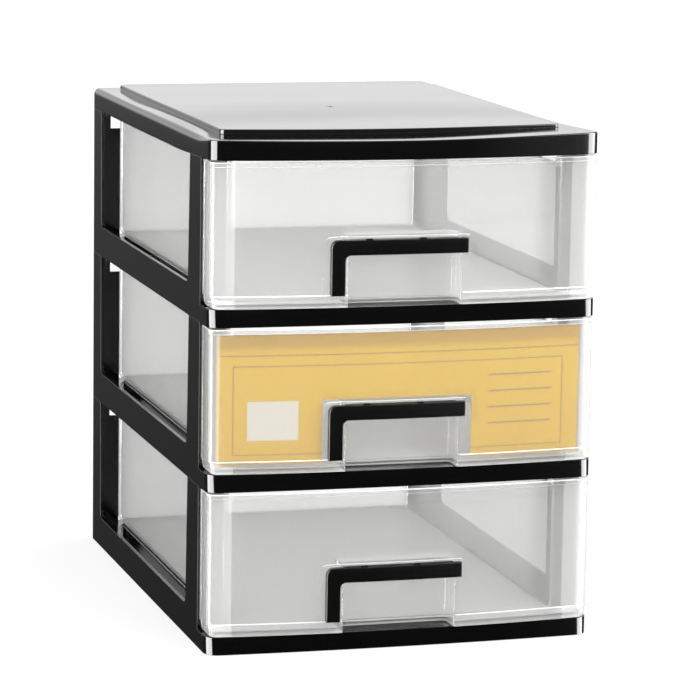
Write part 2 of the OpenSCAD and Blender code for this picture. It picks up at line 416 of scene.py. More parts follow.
def clear_plastic(name):
    """Milky clear plastic: haze on every surface, more of it on the frosted floor and rims."""
    m, g = material(name)
    out = g.n('ShaderNodeOutputMaterial')
    tc = g.n('ShaderNodeTexCoord')
    fine = g.n('ShaderNodeTexNoise', in_Scale=160.0, in_Detail=3.0)
    g.l(tc.outputs['Object'], fine.inputs['Vector'])
    geo = g.n('ShaderNodeNewGeometry')
    nz = g.n('ShaderNodeSeparateXYZ')
    g.l(geo.outputs['Normal'], nz.inputs[0])
    flat = g.maprange(g.math('ABSOLUTE', nz.outputs[2]), 0.6, 0.95)
    sx = g.n('ShaderNodeSeparateXYZ')
    g.l(tc.outputs['Object'], sx.inputs[0])
    ax = g.math('ABSOLUTE', g.math('ADD', sx.outputs[0], 0.0016))
    nx = g.n('ShaderNodeSeparateXYZ')
    g.l(geo.outputs['Normal'], nx.inputs[0])
    side = g.maprange(g.math('ABSOLUTE', nx.outputs[0]), 0.8, 0.95)
    # side strips of the fronts are frosted, but where the card lies against them they read clear
    card = g.math('MULTIPLY', g.maprange(sx.outputs[2], 0.1275, 0.1285), g.maprange(sx.outputs[2], 0.2155, 0.2165, 1.0, 0.0))
    card = g.math('MULTIPLY', card, g.maprange(ax, 0.1252, 0.1262, 1.0, 0.0))
    strip = g.math('MULTIPLY', g.maprange(ax, 0.1160, 0.1172), g.math('SUBTRACT', 1.0, card))
    # painted shade: the haze colour is made darker on the lower tiers, most on their side walls and floors, standing
    # in for less light reaching the lower drawers; side-facing walls are also made greyer throughout
    low = g.maprange(sx.outputs[2], 0.05, 0.27, 1.0, 0.0, 'LINEAR')
    grey_and_painted_shade = g.math('SUBTRACT', 1.0, g.math('MULTIPLY', low, g.maprange(side, 0, 1, 0.03, 0.22, 'LINEAR')))
    grey_and_painted_shade = g.math('SUBTRACT', grey_and_painted_shade, g.math('MULTIPLY', side, 0.19))
    grey_and_painted_shade = g.math('SUBTRACT', grey_and_painted_shade, g.math('MULTIPLY', g.math('MULTIPLY', flat, low), 0.22))
    tr = g.n('ShaderNodeBsdfTransparent')
    di = g.n('ShaderNodeBsdfDiffuse', in_Roughness=0.5)
    tl = g.n('ShaderNodeBsdfTranslucent')
    lw = g.n('ShaderNodeLayerWeight', in_Blend=0.5)
    edge = g.maprange(lw.outputs['Facing'], 0.8, 0.99)      # long way through the plastic
    g.l(g.mixc(edge, (0.983, 0.985, 0.983, 1), (0.74, 0.75, 0.75, 1)), tr.inputs[0])
    def shade(c):
        m_ = g.n('ShaderNodeVectorMath', operation='SCALE')
        g.l(g.mixc(edge, c, (0.86, 0.87, 0.87, 1)), m_.inputs[0])
        g.l(grey_and_painted_shade, m_.inputs['Scale'])
        return m_.outputs[0]
    g.l(shade((0.97, 0.968, 0.96, 1)), di.inputs[0])
    g.l(shade((0.985, 0.983, 0.975, 1)), tl.inputs[0])
    gl = g.n('ShaderNodeBsdfGlossy', in_Color=(1, 1, 1, 1))
    g.l(g.maprange(fine.outputs['Fac'], 0.3, 0.7, 0.09, 0.10, 'LINEAR'), gl.inputs['Roughness'])
    milk = g.n('ShaderNodeMixShader')
    g.l(g.math('SUBTRACT', g.maprange(flat, 0, 1, 0.85, 0.2, 'LINEAR'), g.math('MULTIPLY', strip, 0.22), clamp=True), milk.inputs[0])
    g.l(di.outputs[0], milk.inputs[1]); g.l(tl.outputs[0], milk.inputs[2])
    haze = g.n('ShaderNodeMixShader')
    g.l(g.math('ADD', g.maprange(flat, 0, 1, 0.24, 0.95, 'LINEAR'), g.math('MULTIPLY', strip, 0.05), clamp=True), haze.inputs[0])
    g.l(tr.outputs[0], haze.inputs[1]); g.l(milk.outputs[0], haze.inputs[2])
    fr = g.n('ShaderNodeFresnel', in_IOR=1.47)
    mix = g.n('ShaderNodeMixShader')
    g.l(g.math('MULTIPLY', fr.outputs[0], 0.3), mix.inputs[0])
    g.l(haze.outputs[0], mix.inputs[1]); g.l(gl.outputs[0], mix.inputs[2])
    g.l(mix.outputs[0], out.inputs['Surface'])
    return m


def card_paper(name):
    m, g = material(name)
    out = g.n('ShaderNodeOutputMaterial')
    b = g.n('ShaderNodeBsdfPrincipled', in_IOR=1.45)
    tc = g.n('ShaderNodeTexCoord')
    sx = g.n('ShaderNodeSeparateXYZ')
    g.l(tc.outputs['Object'], sx.inputs[0])
    X = g.math('MULTIPLY', sx.outputs[0], 1000.0)
    Z = g.math('SUBTRACT', g.math('MULTIPLY', sx.outputs[2], 1000.0), 128.9)   # 0 to 87 up the card
    fib = g.n('ShaderNodeTexNoise', in_Scale=900.0, in_Detail=4.0)
    g.l(tc.outputs['Object'], fib.inputs['Vector'])
    low, high, strip = (0.41, 0.252, 0.002, 1), (0.39, 0.232, 0.002, 1), (0.29, 0.162, 0.002, 1)
    c = g.mixc(g.maprange(Z, 0, 70), high, low)
    # the card is darker along its top, from 74 to 81 mm up
    c = g.mixc(g.maprange(Z, 74.0, 81.0), c, strip)
    # a thin rule under the darker top band and a ruled frame
    def band(v, a, b_, w=0.25):
        return g.math('MULTIPLY', g.maprange(v, a - w, a), g.maprange(v, b_, b_ + w, 1.0, 0.0))
    def rect_line(x0, x1, z0, z1, t=0.8):
        outer = g.math('MULTIPLY', band(X, x0, x1), band(Z, z0, z1))
        inner = g.math('MULTIPLY', band(X, x0 + t, x1 - t), band(Z, z0 + t, z1 - t))
        return g.math('SUBTRACT', outer, inner, clamp=True)
    rule = (0.16, 0.09, 0.02, 1)
    lines = rect_line(-118.0, 112.0, 6.0, 66.0)
    for z in (22.0, 33.0, 44.0, 55.0):
        lines = g.math('MAXIMUM', lines, g.math('MULTIPLY', band(X, 58.0, 104.0), band(Z, z, z + 0.9)))
    lines = g.math('MAXIMUM', lines, band(Z, 72.6, 73.2))
    c = g.mixc(g.math('MULTIPLY', lines, 0.9), c, rule)
    field = g.math('MULTIPLY', band(X, -108.0, -74.0), band(Z, 16.0, 42.0))
    c = g.mixc(g.math('MULTIPLY', field, 0.85), c, (0.40, 0.40, 0.38, 1))
    c = g.mixc(g.maprange(fib.outputs['Fac'], 0.3, 0.7, 0.0, 0.02, 'LINEAR'), c, (1, 1, 1, 1))
    g.l(c, b.inputs['Base Color'])
    g.l(g.maprange(fib.outputs['Fac'], 0.3, 0.7, 0.55, 0.68, 'LINEAR'), b.inputs['Roughness'])
    bp = g.n('ShaderNodeBump', in_Strength=0.15, in_Distance=0.00004)
    g.l(fib.outputs['Fac'], bp.inputs['Height'])
    g.l(bp.outputs['Normal'], b.inputs['Normal'])
    g.l(b.outputs[0], out.inputs['Surface'])
    return m


M_BLACK = black_plastic("black_plastic", (0.0012, 0.0012, 0.0013), 0.11, 0.08)
M_GRIP = black_plastic("handle_plastic", (0.0010, 0.0010, 0.0009), 0.22, 0.1)
M_CLEAR = clear_plastic("clear_plastic")
M_CARD = card_paper("yellow_card")


# ------------------------------------------------------------------- top panel

def side_drop(y):
    """How far the lower edge of the top panel and the posts under it sit down towards the back."""
    return 2.5 * smooth((y - 2) / 95.0) + 0.3 * smooth((y - 120) / 80.0)


def top_drop(x, y):
    """How far the border and the platform sit below their highest place, the front right."""
    u = x / 135
    d = 0.15 + 0.95 * smooth((y + 5) / 60.0) + 0.25 * smooth((y - 110) / 150.0)
    d = d + 0.8 * (1 - u ** 2) * (1 - smooth((y + 8) / 70.0))
    return d - 0.35 * np.clip(u, 0, 1) * (1 - smooth((y - 20) / 120.0))


def make_top_panel():
    P, N = plan(W, D, TOP_BOW, 10.0, rr=12.0, rb=CR)
    Q, M = plan(238.0, 313.5, 11.0, 5.0, y0=42.5, rr=4.0, rb=9.0)
    Q = Q + [1.2, 0]
    y = P[:, 1]
    rt = 1.0 + 2.8 * smooth((y - 3) / 30.0)
    rings = []
    z1, pz = TOP_Z1, TOP_Z2 + 0.6
    # inside: under the platform, under the border, down the skirt
    rings.append(ring(Q, M, 5.4, pz - 2.4))
    rings.append(ring(Q, M, 3.4, pz - 2.6))
    rings.append(ring(Q, M, 3.0, z1 - 2.4))
    rings.append(ring(P, N, WALL + 1.0, z1 - 2.4))
    rings.append(ring(P, N, WALL, z1 - 5.0))
    rings.append(ring(P, N, WALL, TOP_Z0 + 0.1))
    rings.append(ring(P, N, WALL - 0.2, TOP_Z0))
    # outside: lower edge, skirt, rounded upper edge
    e = 0.45
    for a in (0, 30, 60, 90):
        t = math.radians(a)
        rings.append(ring(P, N, e * (1 - math.sin(t)), TOP_Z0 + e * (1 - math.cos(t))))
    for z in (TOP_Z0 + 3.5, TOP_Z0 + 7.0):
        rings.append(ring(P, N, 0, z))
    for k in range(9):
        t = math.pi / 2 * k / 8
        rings.append(ring(P, N, rt * (1 - math.cos(t)), z1 - rt + rt * math.sin(t)))
    # border, then the wall of the platform with its rounded upper edge
    Rq = ring(Q, M, -0.7, z1)
    Rp = rings[-1]
    for f in (0.25, 0.5, 0.75):
        rings.append(Rp * (1 - f) + Rq * f)
    rings.append(Rq)
    for ins, z in ((-0.32, z1 + 0.05), (-0.1, z1 + 0.2), (0.0, z1 + 0.5), (0.03, pz - 1.0), (0.1, pz - 0.62), (0.3, pz - 0.3),
                   (0.62, pz - 0.1), (1.1, pz)):
        rings.append(ring(Q, M, ins, z))
    c = np.array([0, 195.0])
    last = rings[-1]
    for f in (0.985, 0.94, 0.86, 0.74, 0.58, 0.4, 0.2):
        R = last.copy()
        R[:, :2] = c + (last[:, :2] - c) * f
        rings.append(R)
    V, F = rings_to_mesh(rings)
    x, y, z = V.T.copy()
    low = smooth((z1 - z) / 12.0)
    # the border comes up towards the front right, so the wall of the platform is lower there
    rise = 1.0 * smooth(x / 135 / 0.95) * (1 - smooth((y - 25) / 70.0)) * (1 - smooth((z - z1 - 0.1) / 1.2))
    V[:, 2] = z - (top_drop(x, y) * (1 - low) + side_drop(y) * low) + rise * (1 - low)
    body = (V, F)
    zc = pz - float(top_drop(np.array(-4.0), np.array(Y_MID)))
    mark = []
    for r, zz in ((3.4, -1.5), (3.4, 0.03), (3.1, 0.1), (2.5, 0.1), (2.2, 0.02), (0.9, 0.01), (0.6, 0.16), (0.3, 0.2)):
        a = np.linspace(0, 2 * math.pi, 33)[:-1]
        mark.append(np.column_stack([-4 + r * np.cos(a), Y_MID + r * np.sin(a), np.full(32, zc + zz)]))
    mk = rings_to_mesh(mark)
    pads = [rbox(122.2, 129.6, 26.2, 28.2, 330.5, 342.4, .3), rbox(122.2, 126.8, 364.4, 366, 328, 342.4, .3)]
    pads += [mirror_x(p) for p in pads]
    return mesh_object("top_cover", join(body, mk, *pads), M_BLACK, "frame", ["top_panel"])


# ----------------------------------------------------------------- tier frames

def frame_path():
    P, N = plan(W, D, BAR_BOW, 10.0, nf=48, nc=10, ns=36, nb=30, rb=CR)
    k = int(np.argmin(np.abs(P[:, 0]) + (P[:, 1] < 300) * 1e3))
    return Path(np.roll(P, -k, 0), np.roll(N, -k, 0), True)


def s_left(path, y):
    """Distance along the path of a point on the left side."""
    m = (path.P[:, 0] < -134.99)
    o = np.argsort(path.P[m, 1])
    return float(np.interp(y, path.P[m, 1][o], path.s[m][o]))


def s_front(path, x):
    """Distance along the path of a point on the front."""
    m = (path.P[:, 1] < 40) & (np.abs(path.P[:, 0]) < 134.9)
    o = np.argsort(path.P[m, 0])
    return float(np.interp(x, path.P[m, 0][o], path.s[m][o]))


def arc2(c, r, a0, a1, n=7):
    return [(c[0] + r * math.cos(math.radians(a0 + (a1 - a0) * k / n)), c[1] + r * math.sin(math.radians(a0 + (a1 - a0) * k / n)))
            for k in range(n + 1)]


def make_tier(i, nodes):
    path = frame_path()
    T = TIER
    L = path.L
    sl = lambda y: s_left(path, y)
    # left half of the upper profile, from the middle of the back to the front
    half = [(0, BAR), (114.0, BAR), (114.0, T - 16.7), (121.2, T - 16.7), (121.2, T)]
    half += [(sl(334), T)]
    f = [(333 - 6 + 6 * math.cos(math.radians(a)), RAIL + 6 + 6 * math.sin(math.radians(a))) for a in np.linspace(0, -90, 8)]
    half += [(sl(y), z) for y, z in f]
    f = [(66 + 6 * math.cos(math.radians(a)), RAIL + 6 + 6 * math.sin(math.radians(a))) for a in np.linspace(270, 180, 8)]
    half += [(sl(y), z) for y, z in f]
    half += [(sl(57), T), (sl(26), T), (sl(26), BAR)]
    top = half + [(L - (118.0 if s == 114.0 else s), z) for s, z in reversed(half)]
    poly = [(0, 0), (L, 0)] + list(reversed(top))
    # first and last points of the profile lie on the cut at the middle of the back
    cut = lambda a, b: (abs(a[0]) < 1e-6 and abs(b[0]) < 1e-6) or (abs(a[0] - L) < 1e-6 and abs(b[0] - L) < 1e-6)
    wall = plate(path, poly, WALL, 0.18, 3, 12.0, cut)
    parts = [wall]
    # ledge with its turned-down edge
    P, N = plan(W, D, BAR_BOW, 10.0, nf=48, nc=10, ns=36, nb=30, rb=CR)
    w = W - 2 * LEDGE
    Q, M = plan(w, D - 62, 0.01, 8, y0=32, nf=48, nc=10, ns=36, nb=30)
    z = BAR
    sect = [ring(P, N, WALL - 0.1, z), ring(Q, M, -0.7, z), ring(Q, M, -0.2, z - 0.2), ring(Q, M, 0, z - 0.7), ring(Q, M, 0, 4.0),
            ring(Q, M, -2, 4.0), ring(Q, M, -2, z - 2.5), ring(P, N, WALL - 0.1, z - 2.5)]
    parts.append(rings_to_mesh(sect, loop=True))
    one = []
    one.append(rbox(117.2, 132.9, 26.03, 28.4, BAR - 1, T, 0.3))
    one.append(rbox(117.2, 118.4, 27, 39.5, BAR - 1, 99.0, 0.3))
    one.append(rbox(117.6, 119.2, 70, 325, BAR - 1, BAR + 4, 0.4))
    one.append(rbox(130, 132.8, 31, 50, T - 12, T + (6 if i < 2 else 3), 0.4))
    one.append(rbox(130, 132.8, 338, 356, T - 12, T + (6 if i < 2 else 3), 0.4))
    for yy in (92, 138, 184, 230, 276):
        one.append(rbox(100, 133, yy, yy + 1.6, 5, BAR - 1, 0.2))
    parts += one + [mirror_x(p) for p in one]
    V, F = join(*parts)
    V = V.copy()
    if i == 2:
        V[:, 2] -= side_drop(V[:, 1]) * np.clip((V[:, 2] - 60) / (T - 60), 0, 1)
    V[:, 2] += i * TIER
    return mesh_object("tier_%d_frame" % (i + 1), (V, F), M_BLACK, "frame", nodes)


# --------------------------------------------------------------------- drawers

def tray_loop():
    """Plan line of the drawer: a wide bulged front and a narrower tray behind the posts."""
    w, b, r = 268.0, FRONT_BOW, 8.0
    R = bow_r(w, b)
    cy = R - b - math.sqrt((R - r) ** 2 - (w / 2 - r) ** 2)
    n = np.array([w / 2 - r, cy - (R - b)]); n /= np.hypot(*n)
    Ri = R - PANEL_IN
    tx = Ri * n[0]
    ri = r - PANEL_IN
    P, N, K = [], [], []     # K: 1 on the front, 0 on the tray
    def add(p, nn, k):
        P.append(p); N.append(nn); K.append(k)
    xs = np.linspace(0, tx, 34)
    for x in xs:
        q = math.sqrt(Ri * Ri - x * x)
        add((x, R - b - q), (x / Ri, -q / Ri), 1)
    a = math.atan2(n[1], n[0])
    for k in range(1, 10):
        t = a + (0 - a) * k / 9
        add((w / 2 - r + (r - SIDE_IN) * math.cos(t), cy + ri * math.sin(t)), (math.cos(t), math.sin(t)), 1 - (1 - SIDE_K) * smooth(k / 9))
    xr = w / 2 - SIDE_IN
    for y in (12, 17, 20):
        add((xr, y), (1, 0), SIDE_K)
    for k in range(0, 7):
        t = math.pi / 2 * k / 6
        add((xr - 3 + 3 * math.cos(t), 21 + 3 * math.sin(t)), (math.cos(t), math.sin(t)), SIDE_K * (1 - k / 6 * 0.99))
    for x in (127, 124, 121):
        add((x, 24), (0, 1), 0.0011)
    for k in range(0, 7):
        t = -math.pi / 2 - math.pi / 2 * k / 6
        # hollow corner: its centre lies outside
        add((119 + 3 * math.cos(t), 27 + 3 * math.sin(t)), (-math.cos(t), -math.sin(t)), 0.0010 * (1 - k / 6))
    for y in np.linspace(34, 348, 24):
        add((116, y), (1, 0), 0)
    for k in range(0, 10):
        t = math.pi / 2 * k / 9
        add((110 + 6 * math.cos(t), 355 + 6 * math.sin(t)), (math.cos(t), math.sin(t)), 0)
    for x in np.linspace(102, 0, 10):
        add((x, 361), (0, 1), 0)
    P, N, K = np.array(P), np.array(N), np.array(K)
    h = slice(len(P) - 2, 0, -1)
    P2, N2, K2 = P[h] * [-1, 1], N[h] * [-1, 1], K[h]
    return np.vstack([P, P2]), np.vstack([N, N2]), np.concatenate([K, K2])


def drawer_shell():
    P, N, K = tray_loop()
    n = len(P)
    # weight of the front's relief, and of the front's height
    wf = np.where(K > 0.002, K, 0.0)
    wf = np.where(wf > 0.9, smooth(wf), wf)
    yy = P[:, 1]
    onfront = (K > 0.0004)
    hf = np.where(onfront, 1.0, 1 - smooth((yy - 27) / 4.0))
    hf = np.where((~onfront) & (yy > 31), 0, hf)
    F_ = [(12.3, -0.3), (12.32, 0.5), (12.6, 1.25), (13.1, 1.75), (13.9, 2.0), (19.0, 2.0), (19.9, 1.85), (20.4, 1.45), (20.7, 0.7), (20.8, 0.15), (21.3, 0.0),
          (35, 0), (50, 0), (65, 0), (80, 0), (95, 0), (105.2, 0), (105.9, 0.12), (106.15, 0.6), (106.25, 1.3), (106.6, 1.8), (107.2, 2.0), (108.3, 2.0), (108.8, 1.8), (109.05, 1.35), (109.1, 0.8),
          (109.1, -1.4), (109.0, -1.8), (108.7, -2.1), (108.2, -2.2)]
    T_ = [(12.3, -6.0), (12.4, -4.9), (12.75, -3.7), (13.35, -2.55), (14.1, -1.65), (15.1, -0.9), (16.1, -0.4), (17.2, -0.1), (18.4, 0), (19.6, 0), (21.3, 0.0),
          (35, 0), (50, 0), (65, 0), (80, 0), (92, 0), (98.2, 0), (98.8, 0.1), (99.0, 0.35), (99.1, 0.7), (99.4, 1.0), (99.8, 1.15), (100.5, 1.2), (100.95, 1.1), (101.2, 0.8), (101.3, 0.4),
          (101.3, -1.4), (101.2, -1.8), (100.9, -2.1), (100.4, -2.2)]
    rings = []
    for (zf, of), (zt, ot) in zip(F_, T_):
        o = of * wf + ot * (1 - wf)
        o = np.where(onfront & (wf < 0.2), np.minimum(o, 0.0) if of > 0 else o, o)
        z = zf * hf + zt * (1 - hf)
        rings.append(ring(P, N, -o, z))
    for z, o in ((90, 2.2), (70, 2.2), (50, 2.2), (30, 2.2), (18.6, 2.2), (17.2, 2.35), (16.0, 2.8), (15.1, 3.5), (14.6, 4.5), (14.5, 5.5)):
        rings.append(ring(P, N, o, z))
    return rings_to_mesh(rings)


def front_curve(x, inset):
    R = bow_r(268.0, FRONT_BOW)
    return R - FRONT_BOW - math.sqrt((R - inset) ** 2 - x * x)


def pocket_solid(grow, y_front_inset, z0, z1, flare=0.0, far=None, rc=3.5):
    """Prism of the finger pocket. Its front follows the bulge, its back corners are round."""
    x0, x1, yb = POCKET_L - grow, POCKET_R + grow, POCKET_BACK + grow
    loop = []
    rc = rc + grow
    if far is None:
        for x in np.linspace(x0, x1, 15):
            loop.append((x, front_curve(x, y_front_inset)))
    else:
        f = flare
        loop += [(x0 - f, far), (x1 + f, far)]
        ys = front_curve(x1, PANEL_IN)
        loop += [(x1 + f * (1 - math.sin(t)), ys + 0.05 + f * (1 - math.cos(t))) for t in np.linspace(0, math.pi / 2, 6)]
    loop += [(x1 - rc + rc * math.cos(t), yb - rc + rc * math.sin(t)) for t in np.linspace(0, math.pi / 2, 8)]
    loop += [(x0 + rc - rc * math.sin(t), yb - rc + rc * math.cos(t)) for t in np.linspace(0, math.pi / 2, 8)]
    if far is not None:
        ys = front_curve(x0, PANEL_IN)
        loop += [(x0 - f * (1 - math.sin(t)), ys + 0.05 + f * (1 - math.cos(t))) for t in np.linspace(math.pi / 2, 0, 6)]
    q = np.array(loop)
    # the top edge is rounded inwards
    c = q.mean(0)
    rings = []
    def inner(k):
        r = q.copy()
        r[:, 0] = np.where(q[:, 0] > c[0], q[:, 0] - k, q[:, 0] + k)
        r[:, 1] = np.where(q[:, 1] > yb - rc, q[:, 1] - k, q[:, 1])
        return r
    rings.append(np.column_stack([q, np.full(len(q), z0)]))
    e = 1.6
    rings.append(np.column_stack([q, np.full(len(q), z1 - e)]))
    for a in (30, 60, 90):
        t = math.radians(a)
        rings.append(np.column_stack([inner(e * (1 - math.cos(t))), np.full(len(q), z1 - e + e * math.sin(t))]))
    return rings_to_mesh(rings)


def surround_line():
    """Raised line round the grip, from the lip up the left, along the top and down on the right."""
    pts = [(-59.0, 20.0), (-59.0, 52.7)]
    pts += [(-53 - 6 * math.cos(t), 52.7 + 6 * math.sin(t)) for t in np.linspace(0, math.pi / 2, 8)][1:]
    pts += [(x, 58.9) for x in np.linspace(-45, 38, 16)]
    pts += [(39.8 + 2.4 * math.sin(t), 56.5 + 2.4 * math.cos(t)) for t in np.linspace(0, math.pi / 2, 6)][1:]
    pts += [(42.2, 52.0), (42.2, 44.0), (42.2, 38.0)]
    q = np.array(pts)
    t = np.gradient(q, axis=0)
    t /= np.hypot(t[:, 0], t[:, 1])[:, None]
    side = np.column_stack([-t[:, 1], t[:, 0]])
    R = bow_r(268.0, FRONT_BOW)
    prof = [(-0.75, 1.0), (-0.75, -0.35), (-0.45, -0.75), (0.45, -0.75), (0.75, -0.35), (0.75, 1.0)]
    rings = []
    for k in range(len(q)):
        rr = []
        for off, dep in prof:
            x, z = q[k] + side[k] * off
            yy = front_curve(x, PANEL_IN + dep)
            rr.append((x, yy, z))
        rings.append(np.array(rr))
    return rings_to_mesh(rings)


def raw_object(name, part, flip_check=True):
    V, F = part
    me = bpy.data.meshes.new(name)
    me.from_pydata(((np.asarray(V, float) - [0, Y_MID, 0]) / 1000).tolist(), [], [list(f) for f in F])
    bm = bmesh.new(); bm.from_mesh(me)
    bmesh.ops.remove_doubles(bm, verts=bm.verts, dist=1e-6)
    bmesh.ops.recalc_face_normals(bm, faces=bm.faces)
    bm.to_mesh(me); bm.free()
    ob = bpy.data.objects.new(name, me)
    sc.collection.objects.link(ob)
    return ob


def boolean(ob, other, op):
    m = ob.modifiers.new("b", 'BOOLEAN')
    m.operation = op
    m.object = other
    m.solver = 'EXACT'
    dg = bpy.context.evaluated_depsgraph_get()
    me = bpy.data.meshes.new_from_object(ob.evaluated_get(dg))
    ob.modifiers.clear()
    old = ob.data
    ob.data = me
    bpy.data.meshes.remove(old)
    bpy.data.objects.remove(other)


def make_drawer_mesh():
    shell = raw_object("shell", drawer_shell())
    boolean(shell, raw_object("walls", pocket_solid(2.0, PANEL_IN + 1.1, FLOOR_Z + 0.6, POCKET_TOP + 2.0)), 'UNION')
    boolean(shell, raw_object("line", surround_line()), 'UNION')
    boolean(shell, raw_object("mouth", pocket_solid(0.0, 0, 0.0, POCKET_TOP, flare=1.3, far=-20.0)), 'DIFFERENCE')
    me = shell.data
    bm = bmesh.new(); bm.from_mesh(me)
    bmesh.ops.remove_doubles(bm, verts=bm.verts, dist=2e-6)
    bmesh.ops.dissolve_degenerate(bm, edges=bm.edges, dist=2e-6)
    finish_bmesh(bm, 40)
    bm.to_mesh(me); bm.free()
    bpy.data.objects.remove(shell)
    return me


def make_drawers():
    base = make_drawer_mesh()
    for i, (body, node) in enumerate((("bottom_tray", "drawer_bottom"), ("middle_tray", "drawer_middle"), ("top_tray", "drawer_top"))):
        me = base.copy()
        me.name = "clear_drawer_%d" % (i + 1)
        me.transform(Matrix.Translation((0, 0, i * TIER / 1000)))
        me.materials.clear()
        me.materials.append(M_CLEAR)
        ob = bpy.data.objects.new(me.name, me)
        sc.collection.objects.link(ob)
        add_weighted(ob)
        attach(ob, body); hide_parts(node)
    bpy.data.meshes.remove(base)


# --------------------------------------------------------------------- handles

def front_path(inset, x0=-70.0, x1=60.0, n=44):
    R = bow_r(268.0, FRONT_BOW)
    xs = np.linspace(x0, x1, n)
    q = np.sqrt((R - inset) ** 2 - xs ** 2)
    P = np.column_stack([xs, R - FRONT_BOW - q])
    N = np.column_stack([xs, -q]) / (R - inset)
    return Path(P, N, False)


def make_grip(i, body, node):
    out = 4.0
    path = front_path(PANEL_IN - out)
    s = lambda x: float(np.interp(x, path.P[:, 0], path.s))
    x0, x1, z0, z1, t = GRIP_L, GRIP_R, GRIP_Z0, GRIP_Z1, GRIP_T
    zb = z1 - t
    rin, rout = 3.4, 5.0
    poly = [(s(x0), z0), (s(x0 + t), z0)]
    poly += [(s(x0 + t + rin + rin * math.cos(a)), zb - rin + rin * math.sin(a)) for a in np.linspace(math.pi, math.pi / 2, 9)]
    poly += [(s(x1), zb), (s(x1), z1)]
    poly += [(s(x0 + rout + rout * math.cos(a)), z1 - rout + rout * math.sin(a)) for a in np.linspace(math.pi / 2, math.pi, 10)]
    face = plate(path, poly, out + 0.25, 0.75, 3, 6.0)
    parts = [face]
    # back of the bar inside the top of the pocket, and the clips above it
    pb = front_path(PANEL_IN - 0.5)
    sb = lambda x: float(np.interp(x, pb.P[:, 0], pb.s))
    parts.append(plate(pb, [(sb(POCKET_L + 0.4), zb + 0.5), (sb(POCKET_R - 0.4), zb + 0.5), (sb(POCKET_R - 0.4), z1 - 0.4), (sb(POCKET_L + 0.4), z1 - 0.4)],
                       6.5, 0.4, 2, 6.0, back_e=0.6))
    pc = front_path(PANEL_IN - 1.6)
    for x in (x0 + 24, x0 + 61):
        parts.append(plate(pc, [(x_ := float(np.interp(x, pc.P[:, 0], pc.s)), z1 - 0.6), (x_ + 5, z1 - 0.6), (x_ + 4.6, z1 + 0.8), (x_ + 0.4, z1 + 0.8)],
                           2.0, 0.25, 2, 6.0))
    V, F = join(*parts)
    V = V + [0, 0, i * TIER]
    mesh_object("grip_%d" % (i + 1), (V, F), M_GRIP, body, [node])


# ------------------------------------------------------------------------ card

def make_card():
    w, b, r = 268.0, FRONT_BOW, 8.0
    ins = PANEL_IN + DWALL + 0.1
    R = bow_r(w, b)
    cy = R - b - math.sqrt((R - r) ** 2 - (w / 2 - r) ** 2)
    n = np.array([w / 2 - r, cy - (R - b)]); n /= np.hypot(*n)
    a = math.atan2(n[1], n[0])
    P, N = [], []
    ri = r - ins
    for k in range(0, 9):
        t = math.pi + (-a) * k / 9
        P.append((r - w / 2 + ri * math.cos(t), cy + ri * math.sin(t))); N.append((math.cos(t), math.sin(t)))
    tx = (R - ins) * n[0]
    for x in np.linspace(-tx, 124, 60):
        q = math.sqrt((R - ins) ** 2 - x * x)
        P.append((x, R - b - q)); N.append((x / (R - ins), -q / (R - ins)))
    path = Path(np.array(P), np.array(N), False)
    m = path.P[:, 0] > -129
    s = lambda x: float(np.interp(x, path.P[m, 0], path.s[m]))
    z0, z1, zc = 18.3, 105.3, 60.7
    s0 = float(path.s[5])
    xl, xr, rc = POCKET_L - 16, POCKET_R + 10, 1.5
    poly = [(s0, z0), (s(xl), z0), (s(xl), zc - rc)]
    poly += [(s(xl + rc - rc * math.cos(t)), zc - rc + rc * math.sin(t)) for t in np.linspace(0, math.pi / 2, 5)][1:]
    poly += [(s(xr - rc + rc * math.sin(t)), zc - rc + rc * math.cos(t)) for t in np.linspace(0, math.pi / 2, 5)]
    poly += [(s(xr), z0), (path.L - 0.01, z0), (path.L - 0.01, z1), (s0, z1)]
    V, F = plate(path, poly, 0.5, 0.06, 2, 14.0)
    V = V + [0, 0, TIER]
    mesh_object("printed_card", (V, F), M_CARD, "middle_tray", ["label_card"], weighted=False)


# --------------------------------------------------------------------- assemble

make_top_panel()
for i, nd in enumerate(("tier_frame_bottom", "tier_frame_middle", "tier_frame_top")):
    make_tier(i, [nd])
make_drawers()
for i, (body, nd) in enumerate((("bottom_tray", "handle_bottom"), ("middle_tray", "handle_middle"), ("top_tray", "handle_top"))):
    make_grip(i, body, nd)
make_card()

# ---------------------------------------------------------------- camera, light

def camera():
    yaw, pitch, roll = 0.2857, -0.1712, 0.0161
    fwd = Vector((math.sin(yaw) * math.cos(pitch), math.cos(yaw) * math.cos(pitch), math.sin(pitch)))
    right = Vector((math.cos(yaw), -math.sin(yaw), 0))
    up = right.cross(fwd)
    r2 = right * math.cos(roll) + up * math.sin(roll)
    u2 = -right * math.sin(roll) + up * math.cos(roll)
    cam = bpy.data.cameras.new("camera")
    ob = bpy.data.objects.new("camera", cam)
    sc.collection.objects.link(ob)
    ob.matrix_world = Matrix(((r2.x, u2.x, -fwd.x, -0.68706), (r2.y, u2.y, -fwd.y, -2.38514), (r2.z, u2.z, -fwd.z, 0.60179), (0, 0, 0, 1)))
    cam.sensor_width = 36
    cam.lens = 180.89
    cam.clip_start = 0.05
    cam.clip_end = 50
    sc.camera = ob


camera()


